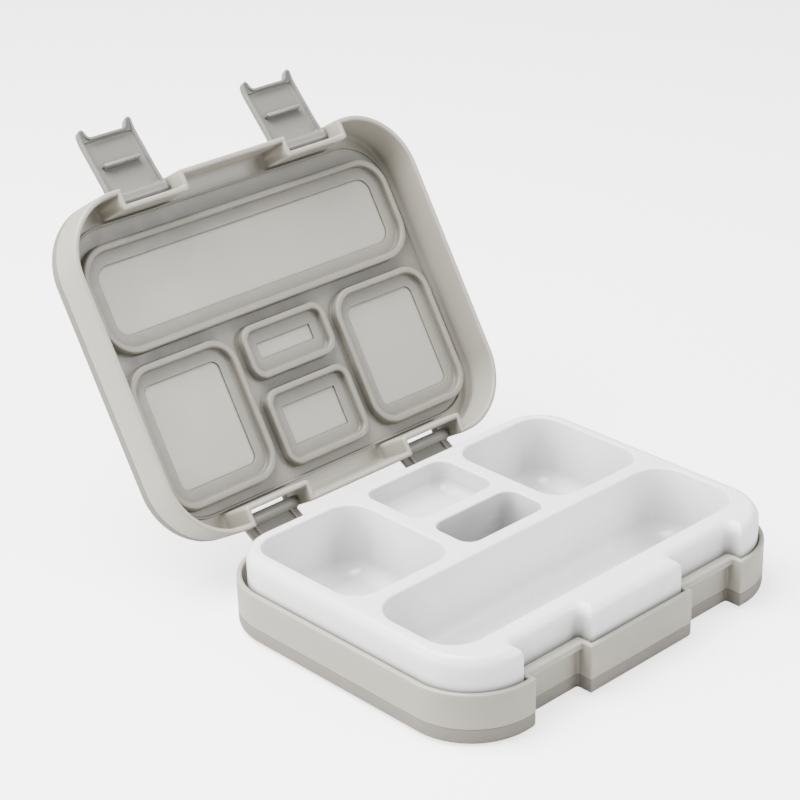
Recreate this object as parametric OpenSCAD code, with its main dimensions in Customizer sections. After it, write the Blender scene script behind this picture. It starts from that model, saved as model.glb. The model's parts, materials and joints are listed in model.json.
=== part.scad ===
// Children's bento lunch box: a hinged two-part shell with latches, and a five-cell food tray.
// X runs along the long side, Y from the latch side (-) to the hinge side (+), Z up.
// The origin is the centre of the base underside. Lengths are millimetres.
// The lid stands open and the latches are swung open; the tray is seated in the base.

/* [Box] */
// Outside length along X
width = 216; // [200:1:232]
// Outside depth along Y
depth = 172; // [166:1:184]
// Radius of the four corners seen from above
corner_r = 34; // [28:1:38]
// Height of the base from underside to rim
base_h = 26; // [25:0.5:30]
// Height of the lid from rim to top
lid_h = 26; // [25:0.5:30]
// Thickness of the shell walls
wall = 2.6; // [2.4:0.1:3]
// Thickness of the base floor
floor_t = 3.6; // [3:0.1:4.2]
// Parting gap between the closed rims
rim_gap = 0.6; // [0.6:0.1:1]

/* [Bumpers] */
// Height of the soft band around the underside of the base
band_h = 8.8; // [7:0.1:9.5]
// Height of the soft band around the top of the lid
lid_band_h = 7.4; // [6:0.1:8]
// Thickness of the bands where they wrap the walls
band_t = 1.3; // [1:0.1:1.4]
// Rounding of the outer edge of the bands
band_r = 4; // [3:0.5:5]

/* [Recesses] */
// Distance of each recess centre from the middle
recess_x = 51.5; // [48:0.5:54]
// Width of a latch or hinge recess
recess_w = 35; // [35:0.5:38]
// Depth of a latch or hinge recess
recess_d = 8; // [7.5:0.1:8.5]

/* [Tray] */
// Height of the food tray
tray_h = 37.5; // [36:0.1:37.5]
// Gap between the tray and the shell walls
tray_gap = 0.8; // [0.8:0.1:1.2]
// Rounding of the tray's top edge
tray_r = 5; // [3:0.5:6]
// Radius of the tray's two hinge-side corners seen from above
tray_back_r = 22; // [21:0.5:26]
// Thickness of the tray walls
tray_t = 1.8; // [1.6:0.1:2]
// Depth of the shallow cell
shallow_cell = 14; // [10:1:20]

/* [Opening] */
// Lean of the hinge links, which is half the opening angle of the lid
link_lean = 60.5; // [40:0.5:62]
// Opening angle of the latches from their closed position
latch_open = 102; // [60:1:110]

/* [Part] */
// Piece to draw

/* [Hidden] */
$fn = 64;

lid_z0 = base_h + rim_gap;              // closed height of the lid rim
lid_z1 = lid_z0 + lid_h;                // closed height of the lid top
mid_z = base_h + rim_gap / 2;           // middle of the parting gap

pin_r = 1.5;
pin_reach = 2.2;                        // how far a pin goes into each recess side wall
pin_l = recess_w + 2 * pin_reach;
run_gap = 0.05;                         // radial clearance of a turning bore
seat_gap = 0.01;                        // radial clearance of a held pin
barrel_r = 3.2;
barrel_w = recess_w - 1.4;

latch_half = 16.2;                      // half the width of a latch plate
half_link = 13.4;                       // height of each link pin from the middle plane
link_l = 2 * half_link;
link_y = depth / 2 - 2.5;
latch_y = -(depth / 2 - 4.2);
upper_z = mid_z + half_link;            // link pins in the lid, and the latch pins
lower_z = mid_z - half_link;

foot_t = 1.6;                           // step height under the bands
foot_in = 5.6;                          // inset of the flat underside and of the lid top
slab_t = 4.2;                           // lid top thickness at its edge
slab_pocket = 1.8;

tray_z0 = floor_t + 0.1;
tray_z1 = tray_z0 + tray_h;
tray_in = wall + tray_gap;
tray_back = depth / 2 - recess_d - wall - 0.9;   // straight hinge-side edge, clear of the hinge recesses

seal_side = 5.6;                        // inset of the seal panel from the box's ends
seal_end = recess_d + wall + 0.8;       // and from its front and back, clear of the recesses
seal_r = corner_r - 8;
seal_z1 = lid_z1 - slab_t - 0.1;
seal_z0 = seal_z1 - 1.6;
bead_z = tray_z1 + 0.1;                 // underside of the sealing beads, just over the deck
bead_out = 1.2;                         // how far a bead stands outside its cell's outline
bead_w = 3.6;
window_in = 8.7;                        // inset of a seal window from its cell's outline
pad_t = 1.8;                            // how far the lid pads stand down into the seal windows

// cells: centre x, centre y, size x, size y, corner radius, depth
cell_edge_x = width / 2 - 11.5;
cell_front = -(depth / 2 - 22);         // latch-side edge of the long cell
cell_back = tray_back - 7;              // hinge-side edge of the other cells
rib = 8;                                // width of the deck between two cells
split_y = -7.5;                         // middle of the rib behind the long front cell
split_l = -29.5;                        // middle of the rib right of the left cell
split_r = 30.5;                         // middle of the rib left of the right cell
split_m = 26;                           // middle of the rib between the two small cells
deep_cell = tray_h - 2.8;

function cell(x0, x1, y0, y1, r, deep) =
    [(x0 + x1) / 2, (y0 + y1) / 2, x1 - x0, y1 - y0, r, deep];

cells = [
    cell(-cell_edge_x, cell_edge_x, cell_front, split_y - rib / 2, 16, deep_cell),
    cell(-cell_edge_x, split_l - rib / 2, split_y + rib / 2, cell_back, 13, deep_cell),
    cell(split_l + rib / 2, split_r - rib / 2, split_y + rib / 2, split_m - rib / 2, 7, deep_cell),
    cell(split_l + rib / 2, split_r - rib / 2, split_m + rib / 2, cell_back, 7, shallow_cell),
    cell(split_r + rib / 2, cell_edge_x, split_y + rib / 2, cell_back, 13, deep_cell)
];

// rounded rectangle, centred
module rounded(w, d, r) {
    square([w - 2 * r, d], center = true);
    square([w, d - 2 * r], center = true);
    for (sx = [-1, 1], sy = [-1, 1])
        translate([sx * (w / 2 - r), sy * (d / 2 - r)]) circle(r);
}

// the four latch and hinge recesses, grown by g on every side
module recesses(g) {
    reach = recess_d + g + 10;
    for (sx = [-1, 1], sy = [-1, 1])
        translate([sx * recess_x, sy * (depth / 2 - recess_d - g + reach / 2)])
            rounded(recess_w + 2 * g, reach, 1.5 + g);
}

// plan outline of the box moved inward by g, recesses included
module outline(g) {
    difference() {
        rounded(width - 2 * g, depth - 2 * g, corner_r - g);
        recesses(g);
    }
}

// plan outline of one cell moved inward by g
module cell_plan(c, g) {
    translate([c[0], c[1]]) rounded(c[2] - 2 * g, c[3] - 2 * g, max(c[4] - g, 1));
}

// prism from z0 to z1 over a plan
module rise(z0, z1) {
    translate([0, 0, z0]) linear_extrude(z1 - z0) children();
}

// upright post of radius r, from z = 0 to h, with its top edge rounded by f
module soft_post(r, h, f) {
    step = 22.5;
    cylinder(h = h - f, r = r);
    for (a = [0:step:90 - step])
        translate([0, 0, h - f + f * sin(a)])
            cylinder(h = f * (sin(a + step) - sin(a)),
                     r1 = r - f * (1 - cos(a)), r2 = r - f * (1 - cos(a + step)));
}

// box-shaped body inset by g, from z = 0 to h, with its top edge rounded by f
module soft_body(g, h, f) {
    hull() {
        for (sx = [-1, 1], sy = [-1, 1])
            translate([sx * (width / 2 - corner_r), sy * (depth / 2 - corner_r), 0])
                soft_post(corner_r - g, h, f);
    }
}

// bar along X between the side walls of a recess
module cross_bar(x, y, z, r, l) {
    translate([x - l / 2, y, z]) rotate([0, 90, 0]) cylinder(h = l, r = r);
}

// places closed-lid parts in the open lid
module lid_open() {
    translate([0, link_y + link_l * sin(link_lean), lower_z + link_l * cos(link_lean)])
        rotate([-2 * link_lean, 0, 0])
            translate([0, -link_y, -upper_z])
                children();
}

// places an upright link, drawn in its closed place, in its leaning place
module link_open() {
    translate([0, link_y, lower_z]) rotate([-link_lean, 0, 0]) translate([0, -link_y, -lower_z])
        children();
}

// places a latch, drawn hanging from its pivot at the origin, in the open lid
module latch_place(side) {
    lid_open() translate([side * recess_x, latch_y, upper_z]) rotate([-latch_open, 0, 0])
        children();
}

// base shell: floor, walls with four recesses, keeper lips for the latches, bores for the link pins
module base_shell() {
    lip_z = 3.6;
    lip_y = 2.5;
    color([0.77, 0.75, 0.72]) difference() {
        union() {
            rise(0, foot_t) outline(foot_in);
            rise(foot_t, band_h) outline(band_t);
            rise(band_h, base_h) outline(0);
        }
        rise(floor_t, base_h + 1) outline(wall);
        for (sx = [-1, 1]) {
            cross_bar(sx * recess_x, link_y, lower_z, pin_r + seat_gap, pin_l);
            for (sy = [-1, 1])
                translate([sx * 80, sy * 58, floor_t - 0.4]) cylinder(h = 1, r = 3);
        }
    }
    color([0.77, 0.75, 0.72]) for (sx = [-1, 1])
        translate([sx * recess_x - recess_w / 2, -(depth / 2 - recess_d + lip_y), base_h - lip_z])
            cube([recess_w, lip_y, lip_z]);
}

// soft band wrapped around the lower edge of the base
module base_bumper() {
    color([0.66, 0.64, 0.61]) difference() {
        translate([0, 0, band_h]) mirror([0, 0, 1]) soft_body(0, band_h, band_r);
        rise(-1, foot_t) outline(foot_in);
        rise(foot_t, band_h + 1) outline(band_t);
        rise(-1, band_h + 1) recesses(0);
    }
}

// plan outline of the tray moved inward by g: recesses at the front, a straight edge at the back
module tray_plan(g) {
    front_x = width / 2 - corner_r;
    front_y = depth / 2 - corner_r;
    front_r = corner_r - tray_in - g;
    back_x = width / 2 - tray_in - tray_back_r;
    back_y = tray_back - tray_back_r;
    back_r = tray_back_r - g;
    difference() {
        union() {
            translate([-front_x - front_r, -front_y]) square([2 * (front_x + front_r), front_y + back_y]);
            translate([-front_x, -front_y - front_r]) square([2 * front_x, front_r + 1]);
            translate([-back_x, back_y - 1]) square([2 * back_x, back_r + 1]);
            for (sx = [-1, 1]) {
                translate([sx * front_x, -front_y]) circle(front_r);
                translate([sx * back_x, back_y]) circle(back_r);
            }
        }
        recesses(tray_in + g);
    }
}

// solid block in the tray's outline, from z = 0 to its height, with a rounded top edge
module tray_block() {
    hull() {
        for (sx = [-1, 1]) {
            translate([sx * (width / 2 - corner_r), -(depth / 2 - corner_r), 0])
                soft_post(corner_r - tray_in, tray_h, tray_r);
            translate([sx * (width / 2 - tray_in - tray_back_r), tray_back - tray_back_r, 0])
                soft_post(tray_back_r, tray_h, tray_r);
        }
    }
}

// food tray: rounded deck and skirt with five cells hung from the deck
module tray() {
    color([0.95, 0.95, 0.96]) difference() {
        union() {
            difference() {
                translate([0, 0, tray_z0]) tray_block();
                rise(tray_z0 - 1, tray_z1 + 1) recesses(tray_in);
                rise(tray_z0 - 1, tray_z1 - tray_r - 0.5) tray_plan(2);
                rise(tray_z0, tray_z1 - 2.2) tray_plan(tray_r + 2);
            }
            for (c = cells)
                rise(tray_z1 - c[5] - tray_t, tray_z1 - 1) cell_plan(c, -tray_t);
        }
        for (c = cells)
            rise(tray_z1 - c[5], tray_z1 + 1) cell_plan(c, 0);
    }
}

// lid shell: walls with four recesses, top slab, five pads that pass through the seal
module lid_shell() {
    slab_z = lid_z1 - slab_t;
    color([0.77, 0.75, 0.72]) lid_open() {
        difference() {
            union() {
                rise(lid_z0, lid_z1 - lid_band_h) outline(0);
                rise(lid_z1 - lid_band_h, lid_z1 - foot_t) outline(band_t);
                rise(lid_z1 - foot_t, lid_z1) outline(foot_in);
            }
            rise(lid_z0 - 1, slab_z) outline(wall);
            rise(slab_z - 1, slab_z + slab_pocket) outline(14);
            for (sx = [-1, 1]) {
                cross_bar(sx * recess_x, link_y, upper_z, pin_r + seat_gap, pin_l);
                cross_bar(sx * recess_x, latch_y, upper_z, pin_r + seat_gap, pin_l);
            }
        }
        for (c = cells)
            rise(slab_z - pad_t, slab_z + slab_pocket) cell_plan(c, window_in + 0.3);
    }
}

// soft band wrapped around the top edge of the lid
module lid_bumper() {
    color([0.66, 0.64, 0.61]) lid_open() difference() {
        translate([0, 0, lid_z1 - lid_band_h]) soft_body(0, lid_band_h, band_r);
        rise(lid_z1 - foot_t, lid_z1 + 1) outline(foot_in);
        rise(lid_z1 - lid_band_h - 1, lid_z1 - foot_t) outline(band_t);
        rise(lid_z1 - lid_band_h - 1, lid_z1 + 1) recesses(0);
    }
}

// plan outline of the seal panel moved inward by g
module seal_plan(g) {
    rounded(width - 2 * (seal_side + g), depth - 2 * (seal_end + g), seal_r - g);
}

// lid seal: plate with an edge lip, and a bead and a ledge around each of five windows
module lid_seal() {
    lip_h = 0.9;
    lip_w = 1.1;
    ledge_t = 3.1;                      // thickness of the seal between a bead and its window
    color([0.68, 0.67, 0.65]) lid_open() difference() {
        union() {
            rise(seal_z0 - lip_h, seal_z1) seal_plan(0);
            for (c = cells)
                rise(bead_z, seal_z0) cell_plan(c, -bead_out);
        }
        difference() {
            rise(seal_z0 - lip_h - 1, seal_z0) seal_plan(lip_w);
            for (c = cells)
                rise(bead_z - 1, seal_z0 + 1) cell_plan(c, -bead_out);
        }
        for (c = cells) {
            rise(bead_z - 1, seal_z1 - ledge_t) cell_plan(c, bead_w - bead_out);
            rise(bead_z - 1, seal_z1 + 1) cell_plan(c, window_in);
        }
    }
}

// outline of a latch plate seen from outside: hinge flare at the top, two horns at the free end
module latch_plan() {
    half = latch_half;
    tip = upper_z - 0.8;                // length from the pivot to the horn tips
    horn = 4.4;
    translate([-half, -(tip - horn)]) square([2 * half, tip - horn]);
    polygon([[-half, -9], [-barrel_w / 2, -2], [-barrel_w / 2, 0],
             [barrel_w / 2, 0], [barrel_w / 2, -2], [half, -9]]);
    for (s = [-1, 1])
        difference() {
            union() {
                translate([s * (half - 2), -(tip - 2)]) circle(2);
                translate([s > 0 ? half - 4 : -half, -(tip - 2)]) square([4, 4]);
                translate([s > 0 ? half - 7 : -half, -(tip - horn) - 1]) square([7, 1.5]);
            }
            translate([s * (half - 7), -(tip - horn) - 3]) circle(3);
        }
}

// latch hanging from its pivot at the origin, outside face towards -Y
module latch_body() {
    plate_out = -2.6;
    plate_t = 2;
    rail_in = 1.2;
    rib_z = -(upper_z - (base_h - 3.6)) - 0.2;
    rib_w = 22;
    difference() {
        union() {
            rotate([0, 90, 0]) translate([0, 0, -barrel_w / 2]) cylinder(h = barrel_w, r = barrel_r);
            translate([0, plate_out + plate_t, 0]) rotate([90, 0, 0]) linear_extrude(plate_t)
                latch_plan();
            for (s = [-1, 1])
                translate([s > 0 ? latch_half - 1.6 : -latch_half, plate_out, -34])
                    cube([1.6, rail_in - plate_out, 32]);
            translate([-rib_w / 2, plate_out, rib_z - 1.8]) cube([rib_w, 2.6 - plate_out, 1.8]);
            translate([-latch_half, plate_out, -34.6]) cube([2 * latch_half, 1 - plate_out, 1.4]);
        }
        rotate([0, 90, 0]) translate([0, 0, -barrel_w]) cylinder(h = 2 * barrel_w, r = pin_r + run_gap);
    }
}

module left_latch() {
    color([0.66, 0.66, 0.64]) latch_place(-1) latch_body();
}

module right_latch() {
    color([0.66, 0.66, 0.64]) latch_place(1) latch_body();
}

// pin of a latch, held in the side walls of the lid recess
module latch_pin(side) {
    color([0.8, 0.8, 0.8]) lid_open() cross_bar(side * recess_x, latch_y, upper_z, pin_r, pin_l - 0.2);
}

module left_latch_pin() {
    latch_pin(-1);
}

module right_latch_pin() {
    latch_pin(1);
}

// hinge link: a plate with two rails between two barrels
module hinge_link(side) {
    plate_w = 32;
    rail_x = 11.5;
    color([0.66, 0.66, 0.64]) link_open() difference() {
        union() {
            for (z = [lower_z, upper_z])
                cross_bar(side * recess_x, link_y, z, barrel_r, barrel_w);
            translate([side * recess_x - plate_w / 2, link_y + 0.6, lower_z])
                cube([plate_w, 2.4, link_l]);
            for (s = [-1, 1])
                translate([side * recess_x + s * rail_x - 0.6, link_y - 0.8, lower_z])
                    cube([1.2, 3, link_l]);
        }
        for (z = [lower_z, upper_z])
            cross_bar(side * recess_x, link_y, z, pin_r + run_gap, 2 * barrel_w);
    }
}

module left_hinge_link() {
    hinge_link(-1);
}

module right_hinge_link() {
    hinge_link(1);
}

// link pin held in the lid
module upper_pin(side) {
    color([0.8, 0.8, 0.8]) lid_open() cross_bar(side * recess_x, link_y, upper_z, pin_r, pin_l - 0.2);
}

module left_upper_pin() {
    upper_pin(-1);
}

module right_upper_pin() {
    upper_pin(1);
}

// link pin held in the base
module lower_pin(side) {
    color([0.8, 0.8, 0.8]) cross_bar(side * recess_x, link_y, lower_z, pin_r, pin_l - 0.2);
}

module left_lower_pin() {
    lower_pin(-1);
}

module right_lower_pin() {
    lower_pin(1);
}

base_shell();
base_bumper();
tray();
lid_shell();
lid_bumper();
lid_seal();
left_latch();
right_latch();
left_latch_pin();
right_latch_pin();
left_hinge_link();
right_hinge_link();
left_upper_pin();
right_upper_pin();
left_lower_pin();
right_lower_pin();
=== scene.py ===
import json
import math

import bmesh
import bpy
from mathutils import Matrix, Quaternion, Vector


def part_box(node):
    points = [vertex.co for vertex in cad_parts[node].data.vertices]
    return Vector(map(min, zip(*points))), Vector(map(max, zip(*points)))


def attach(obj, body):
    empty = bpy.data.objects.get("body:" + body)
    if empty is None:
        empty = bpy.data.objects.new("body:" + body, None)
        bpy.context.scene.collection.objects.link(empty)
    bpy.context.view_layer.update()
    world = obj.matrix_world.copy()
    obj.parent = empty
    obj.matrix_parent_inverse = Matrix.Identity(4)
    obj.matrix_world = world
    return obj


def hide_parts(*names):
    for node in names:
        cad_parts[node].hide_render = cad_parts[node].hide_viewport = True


# ---------------------------------------------------------------- frame and driving dimensions
# Lengths are millimetres. A part is drawn where it sits in the closed box, and a latch around its
# pivot; finish_piece turns it into metres and carries it to its place in the open box.

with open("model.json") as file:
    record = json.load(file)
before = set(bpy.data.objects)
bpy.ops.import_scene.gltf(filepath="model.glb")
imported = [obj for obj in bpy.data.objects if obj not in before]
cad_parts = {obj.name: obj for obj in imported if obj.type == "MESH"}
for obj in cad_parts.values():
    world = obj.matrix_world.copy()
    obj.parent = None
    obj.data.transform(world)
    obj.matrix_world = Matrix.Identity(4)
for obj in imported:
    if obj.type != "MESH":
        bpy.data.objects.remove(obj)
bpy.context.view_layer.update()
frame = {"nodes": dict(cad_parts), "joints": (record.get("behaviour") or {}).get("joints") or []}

MM = 0.001
JOINTS = {joint["name"]: joint for joint in frame["joints"]}


def joint_point(name):
    """A joint's place at rest."""
    return Vector(JOINTS[name]["pos_m"]) / MM


def closing_angle(name):
    """How far a joint turns from rest, where the box is open, to its closed end."""
    return math.radians(-JOINTS[name]["range_deg"][0])


base_low, base_high = (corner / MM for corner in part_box("base_shell"))
tray_low, tray_high = (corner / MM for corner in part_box("tray"))

# both shells
WIDTH = base_high.x - base_low.x
DEPTH = base_high.y - base_low.y
BASE_H = base_high.z
LID_H = 26.0
CORNER_R = 34.0
WALL = 2.6              # thickness of the side walls
RIM_R = 1.0             # rounding of the rim's two edges
FLOOR = 3.6             # height of the base's floor
FOOT_IN = 5.6           # inset of the flat foot from the box's outline
FOOT_T = 1.6            # height of the foot
BAND_STEP = 1.3         # how far the wall steps in behind a soft band
BAND_R = 4.0            # rounding of a band's outer edge
BASE_BAND_H = 8.8
LID_BAND_H = 7.4

# recesses for the latches and the hinge links
RECESS_X = joint_point("right_latch_swing").x
RECESS_W = 35.0
RECESS_D = 8.0
RECESS_R = 0.9          # rounding of the recess corners, at their mouth and inside
RECESS_FOLLOW = 0.3     # share of an inset that goes into that rounding
KEEPER_OUT = 2.5        # how far the keeper that holds a latch's rib stands out
KEEPER_R = 0.35
KEEPER_UNDER = BASE_H - 3.6

# hinge links, whose pins stand one above the other when the box is closed
LEAN = closing_angle("link_fold")
LINK_LOW = joint_point("link_fold")
LINK_HIGH_OPEN = joint_point("lid_swing")
LINK_HIGH = LINK_LOW + Vector((0, 0, (LINK_HIGH_OPEN - LINK_LOW).length))
LID_TOP = LINK_LOW.z + LINK_HIGH.z
BARREL_R = 3.2          # hinge barrels of the links
BARREL_W = RECESS_W - 1.4

# tray
TRAY_IN = WALL + 0.8    # inset of the tray from the box's outline
TRAY_BACK = tray_high.y
TRAY_BACK_R = 22.0      # radius of its two rear corners
TRAY_FOLLOW = 0.45      # as RECESS_FOLLOW, for the tray's own recesses
TRAY_LOW_Z = tray_low.z
TRAY_TOP_Z = tray_high.z
CUP_T = 1.8             # thickness of the cups, the deck and the skirt
DECK_T = 2.2
SKIRT_T = 1.9
SHOULDER_R = 5.6        # rounding from the skirt to the deck

# cells: their outer limits, the middles of the ribs between them, and their two depths
RIB = 8.0
CELL_X = WIDTH / 2 - 11.5
CELL_FRONT = 22 - DEPTH / 2
CELL_BACK = TRAY_BACK - 7
SPLIT_FRONT = -7.5      # behind the long front cell
SPLIT_LEFT = -29.5      # between the left cell and the two small ones
SPLIT_RIGHT = 30.5      # between the two small cells and the right one
SPLIT_MIDDLE = 26.0     # between the two small cells
DEEP = TRAY_TOP_Z - TRAY_LOW_Z - 2.8
SHALLOW = 14.0

# lid seal, whose back lies on the lid, and the lid's pads
LID_SLAB = 4.2          # thickness of the lid's top
SEAL_SIDE = 5.6         # inset of the seal at the box's left and right ends
SEAL_END = RECESS_D + WALL + 0.8
SEAL_R = CORNER_R - 8
SEAL_BACK = LID_TOP - LID_SLAB - 0.1
SEAL_FACE = SEAL_BACK - 1.6
SEAL_LEDGE = SEAL_BACK - 3.1
BEAD_TIP = TRAY_TOP_Z + 0.1
BEAD_OUT = 1.2          # how far a bead stands outside its cell's outline
BEAD_W = 3.6
WINDOW_IN = 8.7         # inset of a window from its cell's outline
PAD_RISE = 2.2          # how far a pad stands off the lid into its window

# latch, measured from its pivot: along its length, and through its thickness from outside in
LATCH_HALF_W = 16.2
LATCH_TIP = LINK_HIGH.z - 0.8
LATCH_END = 2.6         # how far the hinge end reaches past the pivot
HORN = 4.2              # length of the two horns
LATCH_OUT = 2.6         # outside face
PAN_FLOOR = 1.3
BORDER = -1.2           # top of the raised border

# steps along each arc and each straight edge of an outline
LARGE_STEPS = 20
SEAL_STEPS = 16
CELL_STEPS = 12
SMALL_STEPS = 6
EDGE_STEPS = 4


def tray_cells():
    """The cells as (low x, high x, low y, high y, corner radius, depth)."""
    half = RIB / 2
    front, left, right, middle = SPLIT_FRONT, SPLIT_LEFT, SPLIT_RIGHT, SPLIT_MIDDLE
    return [
        (-CELL_X, CELL_X, CELL_FRONT, front - half, 16.0, DEEP),
        (-CELL_X, left - half, front + half, CELL_BACK, 13.0, DEEP),
        (left + half, right - half, front + half, middle - half, 7.0, DEEP),
        (left + half, right - half, middle + half, CELL_BACK, 7.0, SHALLOW),
        (right + half, CELL_X, front + half, CELL_BACK, 13.0, DEEP),
    ]


CELLS = tray_cells()


# ---------------------------------------------------------------- places of the moving assemblies

def place(point):
    """Moves the origin to a point."""
    return Matrix.Translation(point)


def turn_x(angle):
    """Turns about the X axis, in radians."""
    return Matrix.Rotation(angle, 4, "X")


LID_OPEN = place(LINK_HIGH_OPEN) @ turn_x(-2 * LEAN) @ place(-LINK_HIGH)
LINK_OPEN = place(LINK_LOW) @ turn_x(-LEAN) @ place(-LINK_LOW)


def latch_open(joint):
    """Places a latch, drawn hanging from its pivot at the origin, in the open lid."""
    pivot = LID_OPEN.inverted() @ joint_point(joint)
    return LID_OPEN @ place(pivot) @ turn_x(-closing_angle(joint))


# ---------------------------------------------------------------- outlines

STRAIGHT = 1e-6         # edges whose cross product is smaller run straight on
LEAST_RADIUS = 0.35
LEAST_TANGENT = 0.2     # least distance from a corner to the start of its arc
EDGE_SHARE = 0.97       # share of an edge that the arcs at its two ends may take


def cross(first, second):
    """Cross product of two plan vectors, positive when the second lies to the left."""
    return first.x * second.y - first.y * second.x


def left_of(way):
    """A plan vector turned a quarter to the left."""
    return Vector((-way.y, way.x))


def turn_between(before, after):
    """Angle from one direction to the next, positive to the left."""
    return math.atan2(cross(before, after), before.dot(after))


def moved_corner(point, before, after, shift_before, shift_after):
    """Where a corner lands when the edges before and after it move to their left."""
    on_after = point + left_of(after) * shift_after
    if abs(cross(before, after)) < STRAIGHT:
        return on_after
    on_before = point + left_of(before) * shift_before
    return on_before + before * (cross(on_after - on_before, after) / cross(before, after))


def corner_arc(corner, before, after, tangent, steps):
    """Points of the arc that rounds a corner, starting and ending tangent away from it."""
    start = corner - before * tangent
    end = corner + after * tangent
    if abs(cross(before, after)) < STRAIGHT:
        return [start.lerp(end, k / steps) for k in range(steps + 1)]
    change = turn_between(before, after)
    radius = tangent / math.tan(abs(change) / 2)
    centre = start + left_of(before) * math.copysign(radius, change)
    points = []
    for k in range(steps + 1):
        spoke = start - centre
        spoke.rotate(Matrix.Rotation(change * k / steps, 2))
        points.append(centre + spoke)
    return points


def rounded_loop(corners, offsets, follow=1.0):
    """Closed loop of points around a polygon, with every corner rounded by an arc.

    corners holds (x, y, radius, arc steps), counter-clockwise; offsets holds how far each edge
    moves inward, edge i running from corner i to corner i + 1. follow is the share of that offset
    by which the radius of a hollow corner grows. The number of points depends only on the
    corners' steps, so loops with different offsets can be skinned together.
    """
    count = len(corners)
    points = [Vector(corner[:2]) for corner in corners]
    ways = [(points[(i + 1) % count] - points[i]).normalized() for i in range(count)]
    moved, tangents = [], []
    for i in range(count):
        before, after = ways[i - 1], ways[i]
        moved.append(moved_corner(points[i], before, after, offsets[i - 1], offsets[i]))
        change = turn_between(before, after)
        inward = (offsets[i - 1] + offsets[i]) / 2
        radius = corners[i][2] + (-inward if change > 0 else inward * follow)
        tangents.append(max(max(radius, LEAST_RADIUS) * math.tan(abs(change) / 2), LEAST_TANGENT))
    for i in range(count):
        j = (i + 1) % count
        room = (moved[j] - moved[i]).length * EDGE_SHARE
        if tangents[i] + tangents[j] > room:
            longer, shorter = (i, j) if tangents[i] > tangents[j] else (j, i)
            tangents[longer] = max(room - tangents[shorter], room / 2)
    loop = []
    for i in range(count):
        j = (i + 1) % count
        loop += corner_arc(moved[i], ways[i - 1], ways[i], tangents[i], corners[i][3])
        start = moved[i] + ways[i] * tangents[i]
        end = moved[j] - ways[i] * tangents[j]
        loop += [start.lerp(end, k / EDGE_STEPS) for k in range(1, EDGE_STEPS)]
    return loop


def box_loop(inset, lip=0.0):
    """Plan of the box moved inward by inset; lip moves the back of the latch recesses outward."""
    corners, offsets = [], []
    for side in (1, -1):
        shelf = DEPTH / 2 - RECESS_D + (lip if side > 0 else 0.0)
        run = [(-WIDTH / 2, DEPTH / 2, CORNER_R, LARGE_STEPS)]
        for centre in (-RECESS_X, RECESS_X):
            left, right = centre - RECESS_W / 2, centre + RECESS_W / 2
            for x, y in ((left, DEPTH / 2), (left, shelf), (right, shelf), (right, DEPTH / 2)):
                run.append((x, y, RECESS_R, SMALL_STEPS))
        run.append((WIDTH / 2, DEPTH / 2, CORNER_R, LARGE_STEPS))
        for x, y, radius, steps in run:
            corners.append((side * x, -side * y, radius, steps))
            offsets.append(inset)
    return rounded_loop(corners, offsets, RECESS_FOLLOW)


def rectangle_loop(low_x, high_x, low_y, high_y, radius, steps, inset):
    """Rounded rectangle moved inward by inset."""
    places = ((low_x, low_y), (high_x, low_y), (high_x, high_y), (low_x, high_y))
    return rounded_loop([(x, y, radius, steps) for x, y in places], [inset] * 4)


def seal_loop(inset):
    """Plan of the seal panel moved inward by inset."""
    x, y = WIDTH / 2 - SEAL_SIDE, DEPTH / 2 - SEAL_END
    return rectangle_loop(-x, x, -y, y, SEAL_R, SEAL_STEPS, inset)


def cell_loop(cell, inset):
    """Plan of a cell moved inward by inset."""
    return rectangle_loop(*cell[:5], CELL_STEPS, inset)


def arc(centre_a, centre_b, radius_a, radius_b, start, end, steps):
    """Points of an elliptical arc in a profile's two coordinates, angles in degrees."""
    points = []
    for k in range(steps + 1):
        angle = math.radians(start + (end - start) * k / steps)
        points.append((centre_a + radius_a * math.cos(angle), centre_b + radius_b * math.sin(angle)))
    return points


# ---------------------------------------------------------------- mesh building

SHARP = math.radians(38)    # edges that turn by more than this stay sharp


def ring(bm, loop, height):
    """Vertices of a plan loop at one height."""
    return [bm.verts.new((x, y, height)) for x, y in loop]


def skin(bm, rings, closed=False):
    """Quads between consecutive rings; closed also joins the last ring to the first."""
    pairs = list(zip(rings, rings[1:]))
    if closed:
        pairs.append((rings[-1], rings[0]))
    for low, high in pairs:
        for i in range(len(low)):
            j = (i + 1) % len(low)
            bm.faces.new((low[i], low[j], high[j], high[i]))


def cap(bm, *rings):
    """Fills the flat region bounded by one outer ring and any inner rings."""
    edges = []
    for verts in rings:
        for i, vert in enumerate(verts):
            pair = (vert, verts[(i + 1) % len(verts)])
            edges.append(bm.edges.get(pair) or bm.edges.new(pair))
    bmesh.ops.triangle_fill(bm, use_beauty=True, edges=edges)


def tube(bm, rings):
    """Skin over rings, with a face over each end."""
    skin(bm, rings)
    bm.faces.new(rings[0])
    bm.faces.new(rings[-1])


def round_rings(bm, centre, profile, steps=24):
    """Rings of a round detail; profile holds (radius, height)."""
    rings = []
    for radius, height in profile:
        circle = arc(centre[0], centre[1], radius, radius, 0, 360, steps)[:-1]
        rings.append(ring(bm, circle, height))
    return rings


def barrel(bm, centre, radius, length, edge_r=0.7, steps=32):
    """Closed cylinder along X with rounded ends."""
    half, core, flat = length / 2, radius - edge_r, 0.4
    profile = [(-half, core - flat)]
    profile += arc(-half + edge_r, core, edge_r, edge_r, 180, 90, 4)
    profile += arc(half - edge_r, core, edge_r, edge_r, 90, 0, 4)
    profile += [(half, core - flat)]
    rings = []
    for x, r in profile:
        circle = arc(centre[1], centre[2], r, r, 0, 360, steps)[:-1]
        rings.append([bm.verts.new((centre[0] + x, y, z)) for y, z in circle])
    tube(bm, rings)


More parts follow.
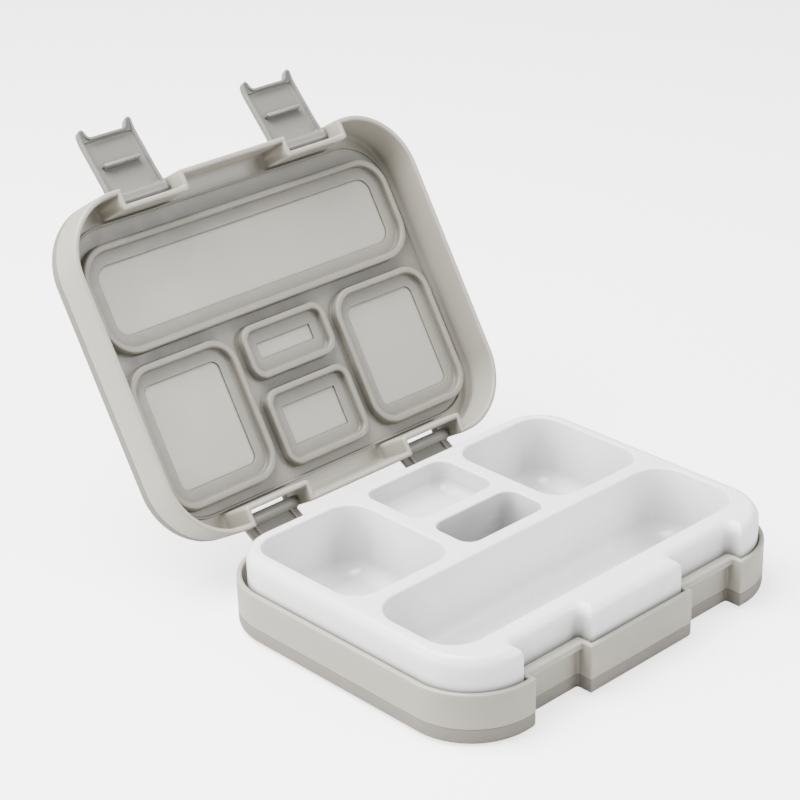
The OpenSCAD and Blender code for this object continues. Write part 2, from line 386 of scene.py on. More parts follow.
def bar(bm, low, high, edge_r, steps=3):
    """Closed block between two corners with every edge along X rounded and softened ends."""
    x0, y0, z0 = low
    x1, y1, z1 = high
    near = edge_r * 0.35
    sections = [(x0, edge_r), (x0 + near, near), (x0 + edge_r, 0.0),
                (x1 - edge_r, 0.0), (x1 - near, near), (x1, edge_r)]
    rings = []
    for x, shrink in sections:
        radius = edge_r - shrink / 2
        inset = edge_r + shrink / 2
        verts = []
        for y, z, start in ((y1 - inset, z1 - inset, 0), (y0 + inset, z1 - inset, 90),
                            (y0 + inset, z0 + inset, 180), (y1 - inset, z0 + inset, 270)):
            quarter = arc(y, z, radius, radius, start, start + 90, steps)
            verts += [bm.verts.new((x, round_y, round_z)) for round_y, round_z in quarter]
        rings.append(verts)
    tube(bm, rings)


def finish_piece(bm, name, material, body, replaces, matrix=Matrix.Identity(4)):
    """Turns a mesh into a piece that rides on a body and stands in for a CAD node."""
    bmesh.ops.recalc_face_normals(bm, faces=bm.faces)
    bm.transform(Matrix.Scale(MM, 4) @ matrix)
    for face in bm.faces:
        face.smooth = True
    mesh = bpy.data.meshes.new(name)
    bm.to_mesh(mesh)
    bm.free()
    mesh.set_sharp_from_angle(angle=SHARP)
    mesh.materials.append(material)
    piece = bpy.data.objects.new(name, mesh)
    bpy.context.scene.collection.objects.link(piece)
    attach(piece, body)
    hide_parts(replaces)


# ---------------------------------------------------------------- materials

def shade(colour, share):
    """A colour made lighter or darker."""
    return tuple(min(1, channel * share) for channel in colour)


class Nodes:
    """Short helper for building one material's node tree."""

    def __init__(self, name):
        self.material = bpy.data.materials.new(name)
        self.material.use_nodes = True
        self.tree = self.material.node_tree
        self.shader = self.tree.nodes["Principled BSDF"]
        self.place = self.tree.nodes.new("ShaderNodeTexCoord").outputs["Object"]

    def link(self, source, target):
        self.tree.links.new(source, target)

    def noise(self, scale, detail, roughness, stretch=None, distortion=0.0):
        """Noise in object space, squeezed along each axis by stretch."""
        node = self.tree.nodes.new("ShaderNodeTexNoise")
        node.inputs["Scale"].default_value = scale
        node.inputs["Detail"].default_value = detail
        node.inputs["Roughness"].default_value = roughness
        node.inputs["Distortion"].default_value = distortion
        source = self.place
        if stretch:
            mapping = self.tree.nodes.new("ShaderNodeMapping")
            mapping.inputs["Scale"].default_value = stretch
            self.link(self.place, mapping.inputs["Vector"])
            source = mapping.outputs["Vector"]
        self.link(source, node.inputs["Vector"])
        return node.outputs["Fac"]

    def ramp(self, source, low, high, values):
        """Maps source from low..high to the two values, clamped."""
        node = self.tree.nodes.new("ShaderNodeMapRange")
        node.inputs["From Min"].default_value = low
        node.inputs["From Max"].default_value = high
        node.inputs["To Min"].default_value = values[0]
        node.inputs["To Max"].default_value = values[1]
        self.link(source, node.inputs["Value"])
        return node.outputs["Result"]

    def mix(self, factor, first, second):
        """Mixes two colours, or the outputs that carry them."""
        node = self.tree.nodes.new("ShaderNodeMix")
        node.data_type = "RGBA"
        self.link(factor, node.inputs["Factor"])
        for value, socket in ((first, node.inputs["A"]), (second, node.inputs["B"])):
            if isinstance(value, tuple):
                socket.default_value = (*value, 1.0)
            else:
                self.link(value, socket)
        return node.outputs["Result"]

    def bump(self, source, distance, strength, below=None):
        """Raises the surface by source, at most distance millimetres, on top of another bump."""
        node = self.tree.nodes.new("ShaderNodeBump")
        node.inputs["Distance"].default_value = distance * MM
        node.inputs["Strength"].default_value = strength
        self.link(source, node.inputs["Height"])
        if below:
            self.link(below, node.inputs["Normal"])
        return node.outputs["Normal"]

    def painted_fold_shade(self, base, reach, tint, depth):
        """Paints shade: darkens base towards tint, by up to depth, in folds narrower than reach, where
        ambient occlusion finds them.
        """
        node = self.tree.nodes.new("ShaderNodeAmbientOcclusion")
        node.samples = 12
        node.inputs["Distance"].default_value = reach * MM
        return self.mix(self.ramp(node.outputs["AO"], 0.35, 0.95, (depth, 0.0)), base, tint)

    def edges(self, base, tint, depth):
        """Paints highlight: lightens base towards tint, by up to depth, along convex edges, where light
        would catch.
        """
        node = self.tree.nodes.new("ShaderNodeNewGeometry")
        return self.mix(self.ramp(node.outputs["Pointiness"], 0.51, 0.60, (0.0, depth)), base, tint)

    def set(self, **values):
        """Gives the shader's inputs numbers, colours or the outputs of other nodes."""
        for name, value in values.items():
            socket = self.shader.inputs[name.replace("_", " ")]
            if isinstance(value, (int, float)):
                socket.default_value = value
            elif not isinstance(value, tuple):
                self.link(value, socket)
            elif socket.type == "RGBA":
                socket.default_value = (*value, 1.0)
            else:
                socket.default_value = value


def moulded_plastic(name, colour, cool, rough, glow, flow, painted_shade_reach, painted_shade_depth):
    """Injection-moulded plastic: faint flow streaks, fine satin grain, soft light inside, painted shade
    in its folds and a painted highlight along its convex edges.
    """
    nodes = Nodes(name)
    cloud = nodes.noise(9, 4, 0.55)
    base = nodes.mix(nodes.ramp(cloud, 0.35, 0.65, (0.0, 0.7)), colour, cool)
    if flow:
        streaks = nodes.noise(14, 3, 0.5, stretch=(1.0, 0.22, 0.5), distortion=0.8)
        base = nodes.mix(nodes.ramp(streaks, 0.56, 0.70, (0.0, 0.16)), base, shade(colour, 1.16))
    # painted shade: darker in folds, from ambient occlusion
    base = nodes.painted_fold_shade(base, painted_shade_reach, shade(colour, 0.3), painted_shade_depth)
    # painted highlight: lighter along convex edges
    base = nodes.edges(base, shade(colour, 1.7), 0.6)
    grain = nodes.noise(2600, 2, 0.5)
    waves = nodes.noise(60, 3, 0.5)
    smear = nodes.noise(35, 5, 0.6, distortion=0.4)
    nodes.set(Base_Color=base,
              Roughness=nodes.ramp(smear, 0.3, 0.7, (rough - 0.05, rough + 0.06)),
              Normal=nodes.bump(grain, 0.012, 0.6, nodes.bump(waves, 0.05, 0.35)),
              Subsurface_Weight=glow,
              Subsurface_Scale=0.003,
              Subsurface_Radius=(1.0, 0.85, 0.7),
              IOR=1.49)
    return nodes.material


def soft_rubber(name, colour, dark):
    """Overmoulded soft rubber: matt, fine grained, slightly cloudy."""
    nodes = Nodes(name)
    cloud = nodes.noise(22, 5, 0.6)
    speck = nodes.noise(900, 2, 0.6)
    grain = nodes.noise(1500, 3, 0.6)
    base = nodes.mix(nodes.ramp(cloud, 0.35, 0.7, (0.0, 0.6)), colour, dark)
    base = nodes.mix(nodes.ramp(speck, 0.62, 0.75, (0.0, 0.12)), base, shade(colour, 1.3))
    nodes.set(Base_Color=base,
              Roughness=nodes.ramp(cloud, 0.3, 0.7, (0.50, 0.61)),
              Normal=nodes.bump(grain, 0.03, 0.5),
              Sheen_Weight=0.08,
              Sheen_Roughness=0.5)
    return nodes.material


def silicone(name, colour, dark):
    """Satin silicone: soft inside light, faint handling marks, painted shade in its troughs and a
    painted highlight along its bead edges.
    """
    nodes = Nodes(name)
    cloud = nodes.noise(16, 4, 0.55)
    marks = nodes.noise(120, 6, 0.65, distortion=0.6)
    grain = nodes.noise(1400, 2, 0.5)
    base = nodes.mix(nodes.ramp(cloud, 0.35, 0.7, (0.0, 0.6)), colour, dark)
    base = nodes.mix(nodes.ramp(marks, 0.60, 0.74, (0.0, 0.10)), base, shade(colour, 1.2))
    # painted shade: troughs darkened strongly, from ambient occlusion
    base = nodes.painted_fold_shade(base, 7, shade(colour, 0.2), 0.75)
    # painted highlight: lighter along convex bead edges
    base = nodes.edges(base, shade(colour, 1.6), 0.6)
    nodes.set(Base_Color=base,
              Roughness=nodes.ramp(marks, 0.3, 0.7, (0.36, 0.5)),
              Normal=nodes.bump(grain, 0.02, 0.5, nodes.bump(cloud, 0.15, 0.4)),
              Subsurface_Weight=0.08,
              Subsurface_Scale=0.004,
              Coat_Weight=0.06,
              Coat_Roughness=0.35)
    return nodes.material


def glossy_white(name):
    """Glossy white plastic with a very faint waviness, and painted shade deep inside the cells."""
    nodes = Nodes(name)
    cloud = nodes.noise(7, 3, 0.5)
    smear = nodes.noise(28, 5, 0.6, distortion=0.3)
    grain = nodes.noise(2200, 2, 0.5)
    waves = nodes.noise(45, 2, 0.5)
    base = nodes.mix(nodes.ramp(cloud, 0.3, 0.7, (0.0, 1.0)), (0.90, 0.90, 0.92), (0.93, 0.93, 0.94))
    # painted shade: grey deep inside the cells, from ambient occlusion
    base = nodes.painted_fold_shade(base, 38, (0.16, 0.16, 0.15), 0.72)
    nodes.set(Base_Color=base,
              Roughness=nodes.ramp(smear, 0.3, 0.7, (0.20, 0.30)),
              Normal=nodes.bump(grain, 0.006, 0.5, nodes.bump(waves, 0.06, 0.3)),
              Subsurface_Weight=0.04,
              Subsurface_Scale=0.002,
              Coat_Weight=0.12,
              Coat_Roughness=0.15)
    return nodes.material


def drawn_steel(name):
    """Drawn steel wire with fine lines along X."""
    nodes = Nodes(name)
    lines = nodes.noise(700, 4, 0.7, stretch=(0.03, 1.0, 1.0))
    base = nodes.mix(nodes.ramp(lines, 0.3, 0.7, (0.0, 1.0)), (0.48, 0.48, 0.47), (0.68, 0.68, 0.67))
    nodes.set(Base_Color=base,
              Metallic=1.0,
              Roughness=nodes.ramp(lines, 0.3, 0.7, (0.26, 0.44)),
              Normal=nodes.bump(lines, 0.02, 0.4))
    return nodes.material


SHELL = moulded_plastic("shell_plastic", (0.360, 0.335, 0.283), (0.345, 0.333, 0.292), rough=0.34,
                        glow=0.05, flow=True, painted_shade_reach=6, painted_shade_depth=0.35)
LATCH = moulded_plastic("latch_plastic", (0.180, 0.175, 0.160), (0.170, 0.169, 0.157), rough=0.38,
                        glow=0.03, flow=False, painted_shade_reach=5, painted_shade_depth=0.55)
LINK = moulded_plastic("link_plastic", (0.250, 0.238, 0.214), (0.235, 0.228, 0.207), rough=0.42,
                       glow=0.03, flow=False, painted_shade_reach=6, painted_shade_depth=0.35)
# The band's colour, darker than the shell's, is painted shade of its downward-facing bevel.
BAND = soft_rubber("band_rubber_painted_shade", (0.205, 0.190, 0.166), (0.180, 0.168, 0.148))
SEAL = silicone("seal_silicone", (0.225, 0.212, 0.178), (0.198, 0.186, 0.158))
TRAY = glossy_white("tray_plastic")
PIN = drawn_steel("pin_steel")


# ---------------------------------------------------------------- shells and bands

def shell_outside(height, band_h, stations=()):
    """Outside of a shell wall as (inset, height): up from the foot, past the band, onto the rim.

    stations are heights of extra points on the plain wall.
    """
    edge = 0.3
    foot = [(FOOT_IN + 1.2, 0.0), (FOOT_IN + 0.4, 0.0), (FOOT_IN, 0.4), (FOOT_IN, FOOT_T),
            (BAND_STEP, FOOT_T + 0.01), (BAND_STEP, band_h - 0.01)]
    step = arc(edge, band_h + edge, edge, edge, 270, 180, 2)
    rim = arc(RIM_R, height - RIM_R, RIM_R, RIM_R, 180, 90, 5)
    return foot + step + [(0.0, station) for station in stations] + rim


def shell_inside(height, floor, floor_r):
    """Inside of a shell wall as (inset, height): from the rim down to the floor."""
    rim = arc(WALL - RIM_R, height - RIM_R, RIM_R, RIM_R, 90, 0, 5)
    bottom = arc(WALL + floor_r, floor + floor_r, floor_r, floor_r, 180, 270, 5)
    return rim + bottom + [(WALL + floor_r + 0.8, floor)]


def keeper_lip(height):
    """How far the keeper that holds a latch's rib stands out at a height of the base wall."""
    if height < KEEPER_UNDER:
        return 0.0
    if height < KEEPER_UNDER + KEEPER_R / 2:
        return KEEPER_OUT - KEEPER_R
    return KEEPER_OUT


def moulding_mark(bm, x, y):
    """Shallow round mark in the base's floor; returns its edge."""
    mark_r, sunk = 3.5, FLOOR - 0.25
    marks = round_rings(bm, (x, y), [(mark_r, FLOOR), (mark_r - 0.3, FLOOR), (mark_r - 0.5, sunk + 0.03),
                                     (mark_r - 0.8, sunk), (mark_r - 1.2, sunk)])
    skin(bm, marks)
    cap(bm, marks[-1])
    return marks[0]


def base_shell():
    """Lower shell, with a keeper at the top of each latch recess and four marks in its floor."""
    bm = bmesh.new()
    stations = (KEEPER_UNDER - 0.05, KEEPER_UNDER, KEEPER_UNDER + KEEPER_R)
    rings = []
    for inset, height in shell_outside(BASE_H, BASE_BAND_H, stations):
        rings.append(ring(bm, box_loop(inset, keeper_lip(height)), height))
    for inset, height in shell_inside(BASE_H, FLOOR, floor_r=1.2):
        rings.append(ring(bm, box_loop(inset), height))
    skin(bm, rings)
    cap(bm, rings[0])
    mark_x, mark_y = WIDTH / 2 - 28, DEPTH / 2 - 28
    marks = [moulding_mark(bm, sx * mark_x, sy * mark_y) for sx in (-1, 1) for sy in (-1, 1)]
    cap(bm, rings[-1], *marks)
    finish_piece(bm, "base_walls", SHELL, "base", "base_shell")


def lid_pad(bm, cell):
    """Flat pad of the lid that shows through a window of the seal; returns its edge."""
    inset, top, edge = WINDOW_IN + 0.05, LID_SLAB + PAD_RISE, 0.2
    steps = [(inset - 0.8, LID_SLAB), (inset, LID_SLAB), (inset, top - edge),
             (inset + 0.3 * edge, top - 0.3 * edge), (inset + edge, top), (inset + edge + 0.7, top)]
    rings = [ring(bm, cell_loop(cell, shift), LID_TOP - height) for shift, height in steps]
    skin(bm, rings)
    cap(bm, rings[-1])
    return rings[0]


def lid_shell():
    """Upper shell: the same wall turned over, with five flat pads that show through the seal."""
    bm = bmesh.new()
    profile = shell_outside(LID_H, LID_BAND_H) + shell_inside(LID_H, LID_SLAB, floor_r=2.4)
    rings = [ring(bm, box_loop(inset), LID_TOP - height) for inset, height in profile]
    skin(bm, rings)
    cap(bm, rings[0])
    pads = [lid_pad(bm, cell) for cell in CELLS]
    cap(bm, rings[-1], *pads)
    finish_piece(bm, "lid_walls", SHELL, "lid", "lid_shell", LID_OPEN)


def band_profile(band_h):
    """Closed section of a soft band as (inset, height): its side, its round edge and its back."""
    fit, back, top, edge = 0.05, BAND_STEP + 0.03, band_h - 0.06, 0.35
    side = [(back, top), (2 * fit + edge, top)]
    side += arc(fit + edge, top - edge, edge, edge, 90, 180, 3)
    side += [(fit, BAND_R + 0.3)]
    under = arc(BAND_R + fit, BAND_R, BAND_R, BAND_R - fit, 180, 270, 9)
    foot = [(FOOT_IN - fit, fit), (FOOT_IN - fit, FOOT_T - fit), (back, FOOT_T - fit)]
    return side + under + foot


def base_band():
    """Soft band around the base's underside edge."""
    bm = bmesh.new()
    rings = [ring(bm, box_loop(inset), height) for inset, height in band_profile(BASE_BAND_H)]
    skin(bm, rings, closed=True)
    finish_piece(bm, "base_band", BAND, "base", "base_bumper")


def lid_band():
    """Soft band around the lid's top edge."""
    bm = bmesh.new()
    rings = [ring(bm, box_loop(inset), LID_TOP - height) for inset, height in band_profile(LID_BAND_H)]
    skin(bm, rings, closed=True)
    finish_piece(bm, "lid_band", BAND, "lid", "lid_bumper", LID_OPEN)


# ---------------------------------------------------------------- food tray

def tray_ring(bm, side, recess, back, height):
    """Ring of the tray's outline, with two recesses in its front and a straight back.

    side, recess and back say how far it moves inward there.
    """
    high_x, low_y, shelf = WIDTH / 2, -DEPTH / 2, RECESS_D - DEPTH / 2
    mouth_r, pocket_r, back_r = TRAY_IN + 1.6, 1.6, TRAY_BACK_R + TRAY_IN / 2
    corners = [(-high_x, low_y, CORNER_R, LARGE_STEPS)]
    offsets = [TRAY_IN + side]
    for centre in (-RECESS_X, RECESS_X):
        left, right = centre - RECESS_W / 2, centre + RECESS_W / 2
        for x, y, radius in ((left, low_y, mouth_r), (left, shelf, pocket_r),
                             (right, shelf, pocket_r), (right, low_y, mouth_r)):
            corners.append((x, y, radius, SMALL_STEPS))
        offsets += [TRAY_IN + recess] * 3 + [TRAY_IN + side]
    corners.append((high_x, low_y, CORNER_R, LARGE_STEPS))
    corners.append((high_x, TRAY_BACK, back_r, LARGE_STEPS))
    corners.append((-high_x, TRAY_BACK, back_r, LARGE_STEPS))
    offsets += [TRAY_IN + side, back, TRAY_IN + side]
    return ring(bm, rounded_loop(corners, offsets, TRAY_FOLLOW), height)


def tray_shares(shift):
    """How far the tray's sides, recesses and back move for a step of its profile."""
    return shift, shift * 0.8, shift * 0.6


def tray_outside(bm):
    """Skirt and shoulder up to the deck; returns its rings."""
    deck, radius = TRAY_TOP_Z, SHOULDER_R
    profile = [(0.0, TRAY_LOW_Z + 0.35), (0.0, TRAY_LOW_Z + 1.2), (0.0, deck - radius - 2.0)]
    profile += arc(radius, deck - radius, radius, radius, 180, 90, 10)
    profile += [(radius + 0.5, deck)]
    return [tray_ring(bm, *tray_shares(shift), height) for shift, height in profile]


def tray_inside(bm):
    """Underside of the deck and inside of the skirt, down to its foot; returns its rings."""
    under, radius = TRAY_TOP_Z - DECK_T, SHOULDER_R - 0.4
    profile = [(SKIRT_T + radius + 0.4, under)]
    profile += arc(SKIRT_T + radius, under - radius, radius, radius, 90, 180, 6)
    profile += [(SKIRT_T, TRAY_LOW_Z + 1.0), (SKIRT_T - 0.3, TRAY_LOW_Z), (0.3, TRAY_LOW_Z)]
    rings = []
    for shift, height in profile:
        least = min(shift, SKIRT_T)
        shifts = [max(share, least) for share in tray_shares(shift)]
        rings.append(tray_ring(bm, *shifts, height))
    return rings


def tray_cup(bm, cell):
    """One cell, inside and out; returns its mouth in the deck and its root under the deck."""
    deck, under, depth = TRAY_TOP_Z, TRAY_TOP_Z - DECK_T, cell[5]
    lip, floor_r, draft = 1.1, min(8.0, depth * 0.45), 1.6 * depth / DEEP
    bottom, waist = deck - depth, draft * 0.45
    inner = [(-lip - 0.12, deck)] + arc(-lip, deck - lip, lip, lip, 90, 0, 5)
    inner += [(waist, (deck + bottom) / 2)]
    inner += arc(draft + floor_r, bottom + floor_r, floor_r, floor_r, 180, 270, 9)
    inner += [(draft + floor_r + 1.0, bottom)]
    outer = [(-CUP_T - 0.4, under), (-CUP_T, under - 0.5), (waist - CUP_T, (under + bottom) / 2)]
    outer += arc(draft + floor_r - CUP_T, bottom + floor_r - CUP_T, floor_r, floor_r, 180, 270, 9)
    outer += [(draft + floor_r - CUP_T + 1.0, bottom - CUP_T)]
    edges = []
    for profile in (inner, outer):
        rings = [ring(bm, cell_loop(cell, inset), height) for inset, height in profile]
        skin(bm, rings)
        cap(bm, rings[-1])
        edges.append(rings[0])
    return edges


def food_tray():
    """One moulding: rounded deck and skirt, five cups hung from the deck."""
    bm = bmesh.new()
    outside, inside = tray_outside(bm), tray_inside(bm)
    skin(bm, outside)
    skin(bm, inside)
    skin(bm, [inside[-1], outside[0]])
    mouths, roots = zip(*[tray_cup(bm, cell) for cell in CELLS])
    cap(bm, outside[-1], *mouths)
    cap(bm, inside[0], *roots)
    finish_piece(bm, "food_tray", TRAY, "tray", "tray")


# ---------------------------------------------------------------- lid seal

def gasket_edge(bm):
    """Edge lip of the seal panel, from its back to its face; returns its rings."""
    lip_w, lip_h = 1.1, 0.9
    profile = [(0.9, SEAL_BACK), (0.2, SEAL_BACK), (0.0, SEAL_BACK - 0.2)]
    profile += arc(lip_w / 2, SEAL_FACE - lip_h + lip_w / 2, lip_w / 2, -lip_w / 2, 180, 0, 6)
    profile += [(lip_w, SEAL_FACE - 0.25), (lip_w + 0.25, SEAL_FACE), (lip_w + 0.8, SEAL_FACE)]
    return [ring(bm, seal_loop(inset), height) for inset, height in profile]


def gasket_window(bm, cell):
    """Flat-topped bead, ledge and window over a cell; returns its edges in the face and the back."""
    root, top_r, draft, foot_r, edge = 0.5, 0.95, 0.12, 0.9, 0.25
    outer, inner = -BEAD_OUT, BEAD_W - BEAD_OUT
    profile = [(outer - root - 0.4, SEAL_FACE)]
    profile += arc(outer - root, SEAL_FACE - root, root, root, 90, 0, 3)
    profile += arc(outer + draft + top_r, BEAD_TIP + top_r, top_r, -top_r, 180, 90, 6)
    profile += arc(inner - draft - top_r, BEAD_TIP + top_r, top_r, -top_r, 90, 0, 6)
    profile += arc(inner + foot_r, SEAL_LEDGE - foot_r, foot_r, foot_r, 180, 90, 5)
    profile += [(inner + foot_r + 0.5, SEAL_LEDGE), (WINDOW_IN - edge - 0.5, SEAL_LEDGE)]
    profile += arc(WINDOW_IN - edge, SEAL_LEDGE + edge, edge, -edge, 90, 0, 3)
    profile += [(WINDOW_IN, SEAL_BACK - 0.2), (WINDOW_IN - 0.2, SEAL_BACK), (WINDOW_IN - 0.8, SEAL_BACK)]
    rings = [ring(bm, cell_loop(cell, inset), height) for inset, height in profile]
    skin(bm, rings)
    return rings[0], rings[-1]


def lid_gasket():
    """Seal panel: an edge lip, and a bead and a ledge around each of five windows."""
    bm = bmesh.new()
    edge = gasket_edge(bm)
    skin(bm, edge)
    fronts, backs = zip(*[gasket_window(bm, cell) for cell in CELLS])
    cap(bm, edge[-1], *fronts)
    cap(bm, edge[0], *backs)
    finish_piece(bm, "lid_gasket", SEAL, "seal", "lid_seal", LID_OPEN)


# ---------------------------------------------------------------- latches and hinge links

def mirrored(right):
    """A closed outline's corners from those of its right half."""
    return right + [(-x, y, radius, steps) for x, y, radius, steps in reversed(right)]


def latch_corners():
    """Latch seen from outside, hanging from its pivot at the origin: x across, y up."""
    half = LATCH_HALF_W
    return mirrored([
        (half - 5.6, HORN - LATCH_TIP, 2.6, 8),
        (half - 3.4, -LATCH_TIP, 1.5, 6),
        (half, -LATCH_TIP, 1.9, 6),
        (half, -9.0, 9.0, 6),
        (BARREL_W / 2, -1.2, 2.0, 5),
        (BARREL_W / 2, LATCH_END, 1.0, 4),
    ])


def pan_corners():
    """Floor of the latch's pan: as many corners as the latch, but a straight free end."""
    corners = latch_corners()
    for index, share in enumerate((0.35, 0.7, 1.0)):
        steps = corners[index][3]
        corners[index] = (LATCH_HALF_W * share, HORN - LATCH_TIP, 1.2, steps)
        corners[-1 - index] = (-LATCH_HALF_W * share, HORN - LATCH_TIP, 1.2, steps)
    return corners


def latch_pan(bm):
    """Flat latch drawn with its outside towards +Z: outside face, raised border, pan."""
    rail_w, outside_r, border_r, inner_r = 1.35, 0.9, 0.45, 0.3
    outside = [(2.2, LATCH_OUT), (1.2, LATCH_OUT)]
    outside += arc(outside_r, LATCH_OUT - outside_r, outside_r, outside_r, 90, 180, 5)
    border = arc(border_r, BORDER + border_r, border_r, -border_r, 180, 90, 4)
    border += arc(rail_w - inner_r, BORDER + inner_r, inner_r, -inner_r, 90, 20, 3)
    slope = [(rail_w + 0.25, PAN_FLOOR - 1.0), (rail_w + 0.5, PAN_FLOOR - 0.4),
             (rail_w + 0.95, PAN_FLOOR - 0.08), (rail_w + 1.5, PAN_FLOOR), (rail_w + 2.2, PAN_FLOOR)]
    rings = []
    for corners, profile in ((latch_corners(), outside + border), (pan_corners(), slope)):
        for inset, height in profile:
            rings.append(ring(bm, rounded_loop(corners, [inset] * len(corners)), height))
    skin(bm, rings)
    cap(bm, rings[0])
    cap(bm, rings[-1])


def shape_latch(bm):
    """Bends the flat latch: horns curl inward, the hinge end closes around the pin."""
    curl_from, curl = LATCH_TIP - 8.0, 1.8
    lift_from, lift_to = 4.2, 1.5
    border_lift, floor_lift = 1.3, 3.0
    end_from, end_thin = 0.5, 0.75
    stations = [curl_from + k for k in range(8)] + [lift_from - 0.5 * k for k in range(14)]
    for along in stations:
        parts = bm.verts[:] + bm.edges[:] + bm.faces[:]
        bmesh.ops.bisect_plane(bm, geom=parts, dist=0.01, plane_co=(0, -along, 0), plane_no=(0, 1, 0))
    for vert in bm.verts:
        along, depth = -vert.co.y, vert.co.z
        if along > curl_from:
            vert.co.z -= curl * ((along - curl_from) / (LATCH_TIP - curl_from)) ** 2
        if along < lift_from and depth < PAN_FLOOR + 0.2:
            part = min((lift_from - along) / (lift_from - lift_to), 1.0)
            ease = part * part * (3 - 2 * part)
            share = (depth - BORDER) / (PAN_FLOOR - BORDER)
            vert.co.z -= ease * (border_lift + (floor_lift - border_lift) * share)
        if along < end_from:
            vert.co.z *= math.sqrt(1 - end_thin * ((end_from - along) / (LATCH_END + end_from)) ** 2)


def latch(side):
    """Pan with a raised border, two horns curling in at the free end, and a hook rib."""
    bm = bmesh.new()
    latch_pan(bm)
    shape_latch(bm)
    # stand it up so that the outside faces -Y
    bm.transform(turn_x(math.radians(90)))
    rib_x, rib_y, rib_h = 11, 2.6, 1.8
    rib_top = KEEPER_UNDER - LINK_HIGH.z - 0.2
    bar(bm, (-rib_x, -PAN_FLOOR - 0.4, rib_top - rib_h), (rib_x, rib_y, rib_top), 0.7, 4)
    finish_piece(bm, f"latch_{side}", LATCH, f"{side}_latch", f"{side}_latch",
                 latch_open(f"{side}_latch_swing"))


def link_plate(bm, x):
    """Flat plate between the two barrels of a hinge link, drawn standing at x."""
    half, edge, near, far, corner_r, steps = 16.2, 0.6, 0.6, 3.0, 0.8, 4
    low, high = LINK_LOW.z + edge, LINK_HIGH.z - edge
    profile = [(1.4, near), (0.9, near)] + arc(edge, near + edge, edge, -edge, 90, 180, 3)
    profile += arc(edge, far - edge, edge, edge, 180, 90, 3) + [(0.9, far), (1.4, far)]
    rings = []
    for inset, out in profile:
        loop = rectangle_loop(x - half, x + half, low, high, corner_r, steps, inset)
        rings.append(ring(bm, loop, -(LINK_LOW.y + out)))
    skin(bm, rings)
    cap(bm, rings[0])
    cap(bm, rings[-1])
    bm.transform(turn_x(math.radians(90)))


def link_rail(bm, x):
    """Upright rail on the inner face of a hinge link."""
    half, end = 0.6, 0.4
    rail = bmesh.new()
    bar(rail, (end - LINK_HIGH.z, LINK_LOW.y - 0.8, x - half),
        (-end - LINK_LOW.z, LINK_LOW.y + 1.6, x + half), 0.5)
    rail.transform(Matrix.Rotation(math.radians(90), 4, "Y"))
    mesh = bpy.data.meshes.new("rail")
    rail.to_mesh(mesh)
    rail.free()
    bm.from_mesh(mesh)
    bpy.data.meshes.remove(mesh)


def hinge_link(side):
    """Plate with two raised rails between two barrels."""
    bm = bmesh.new()
    x = -RECESS_X if side == "left" else RECESS_X
    link_plate(bm, x)
    for z in (LINK_LOW.z, LINK_HIGH.z):
        barrel(bm, (x, LINK_LOW.y, z), BARREL_R, BARREL_W)
    for shift in (-11.5, 11.5):
        link_rail(bm, x + shift)
    finish_piece(bm, f"link_{side}", LINK, "hinge_links", f"{side}_hinge_link", LINK_OPEN)


def steel_pins():
    """The six pins keep their CAD shape and take the steel."""
    for name, node in frame["nodes"].items():
        if name.endswith("_pin"):
            node.data.materials.clear()
            node.data.materials.append(PIN)


base_shell()
base_band()
lid_shell()
lid_band()
food_tray()
lid_gasket()
for hand in ("left", "right"):
    latch(hand)
    hinge_link(hand)
steel_pins()


# ---------------------------------------------------------------- floor, light and camera

def camera_switch(tree, others, seen):
    """Shows one shader to the camera and another to every other ray."""
    ray = tree.nodes.new("ShaderNodeLightPath")
    either = tree.nodes.new("ShaderNodeMixShader")
    tree.links.new(ray.outputs["Is Camera Ray"], either.inputs["Fac"])
    tree.links.new(others, either.inputs[1])
    tree.links.new(seen, either.inputs[2])
    return either.outputs["Shader"]


def pale_floor():
    """Pale seamless floor: bright to the camera, a dimmer bounce for the object."""
    bm = bmesh.new()
    bmesh.ops.create_grid(bm, x_segments=2, y_segments=2, size=4.0)
    mesh = bpy.data.meshes.new("floor")
    bm.to_mesh(mesh)
    bm.free()
    nodes = Nodes("pale_floor")
    nodes.set(Base_Color=(0.94, 0.94, 0.94), Roughness=0.8,
              Emission_Color=(1.0, 1.0, 1.0), Emission_Strength=2.2)
    bounce = nodes.tree.nodes.new("ShaderNodeBsdfDiffuse")
    bounce.inputs["Color"].default_value = (0.62, 0.62, 0.61, 1.0)
    shader = camera_switch(nodes.tree, bounce.outputs["BSDF"], nodes.shader.outputs["BSDF"])
    nodes.link(shader, nodes.tree.nodes["Material Output"].inputs["Surface"])
    mesh.materials.append(nodes.material)
    floor = bpy.data.objects.new("floor", mesh)
    bpy.context.scene.collection.objects.link(floor)


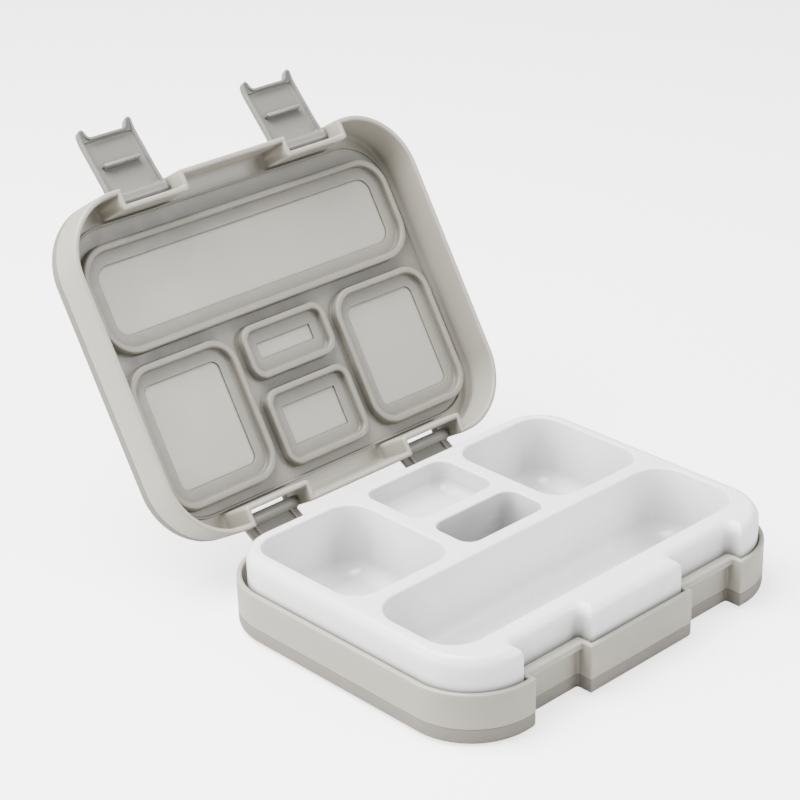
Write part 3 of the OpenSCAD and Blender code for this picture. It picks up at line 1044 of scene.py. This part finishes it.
def soft_box(name, spot, size, power, colour):
    """Rectangular lamp, placed in metres, that points at the middle of the open box."""
    target = Vector((0.0, 0.04, 0.06))
    light = bpy.data.lights.new(name, "AREA")
    light.shape = "RECTANGLE"
    light.size, light.size_y = size
    light.energy = power
    light.color = colour
    lamp = bpy.data.objects.new(name, light)
    lamp.location = spot
    lamp.rotation_mode = "QUATERNION"
    lamp.rotation_quaternion = (target - Vector(spot)).to_track_quat("-Z", "Y")
    bpy.context.scene.collection.objects.link(lamp)


def studio_light():
    """Large soft boxes above, behind on the left and in front on the right, in a dim white room."""
    soft_box("key", (-0.40, 0.35, 1.35), (1.1, 1.1), 74, (1.0, 1.0, 1.0))
    soft_box("left_box", (-1.35, 0.62, 0.62), (0.9, 0.8), 24, (1.0, 0.985, 0.96))
    soft_box("front_box", (0.70, -1.30, 1.05), (0.8, 0.6), 24, (0.98, 0.99, 1.0))
    world = bpy.data.worlds.new("studio")
    world.use_nodes = True
    tree = world.node_tree
    room = tree.nodes["Background"]
    seen = tree.nodes.new("ShaderNodeBackground")
    for background, strength in ((room, 0.45), (seen, 5.0)):
        background.inputs["Color"].default_value = (1.0, 1.0, 1.0, 1.0)
        background.inputs["Strength"].default_value = strength
    shader = camera_switch(tree, room.outputs["Background"], seen.outputs["Background"])
    tree.links.new(shader, tree.nodes["World Output"].inputs["Surface"])
    bpy.context.scene.world = world


def photo_camera():
    """Long lens from the front left, looking down at 25 degrees, tilted a little to the left."""
    aim, distance = Vector((-0.0093, 0.0576, 0.0882)), 1.0724
    heading, drop, roll = (math.radians(angle) for angle in (43.35, 25.45, -1.29))
    level = math.cos(drop)
    look = Vector((math.sin(heading) * level, math.cos(heading) * level, -math.sin(drop)))
    data = bpy.data.cameras.new("camera")
    data.sensor_width = 36
    data.lens = 103.07
    camera = bpy.data.objects.new("camera", data)
    camera.location = aim - look * distance
    camera.rotation_mode = "QUATERNION"
    camera.rotation_quaternion = look.to_track_quat("-Z", "Y") @ Quaternion((0, 0, 1), roll)
    bpy.context.scene.collection.objects.link(camera)
    bpy.context.scene.camera = camera


pale_floor()
studio_light()
photo_camera()
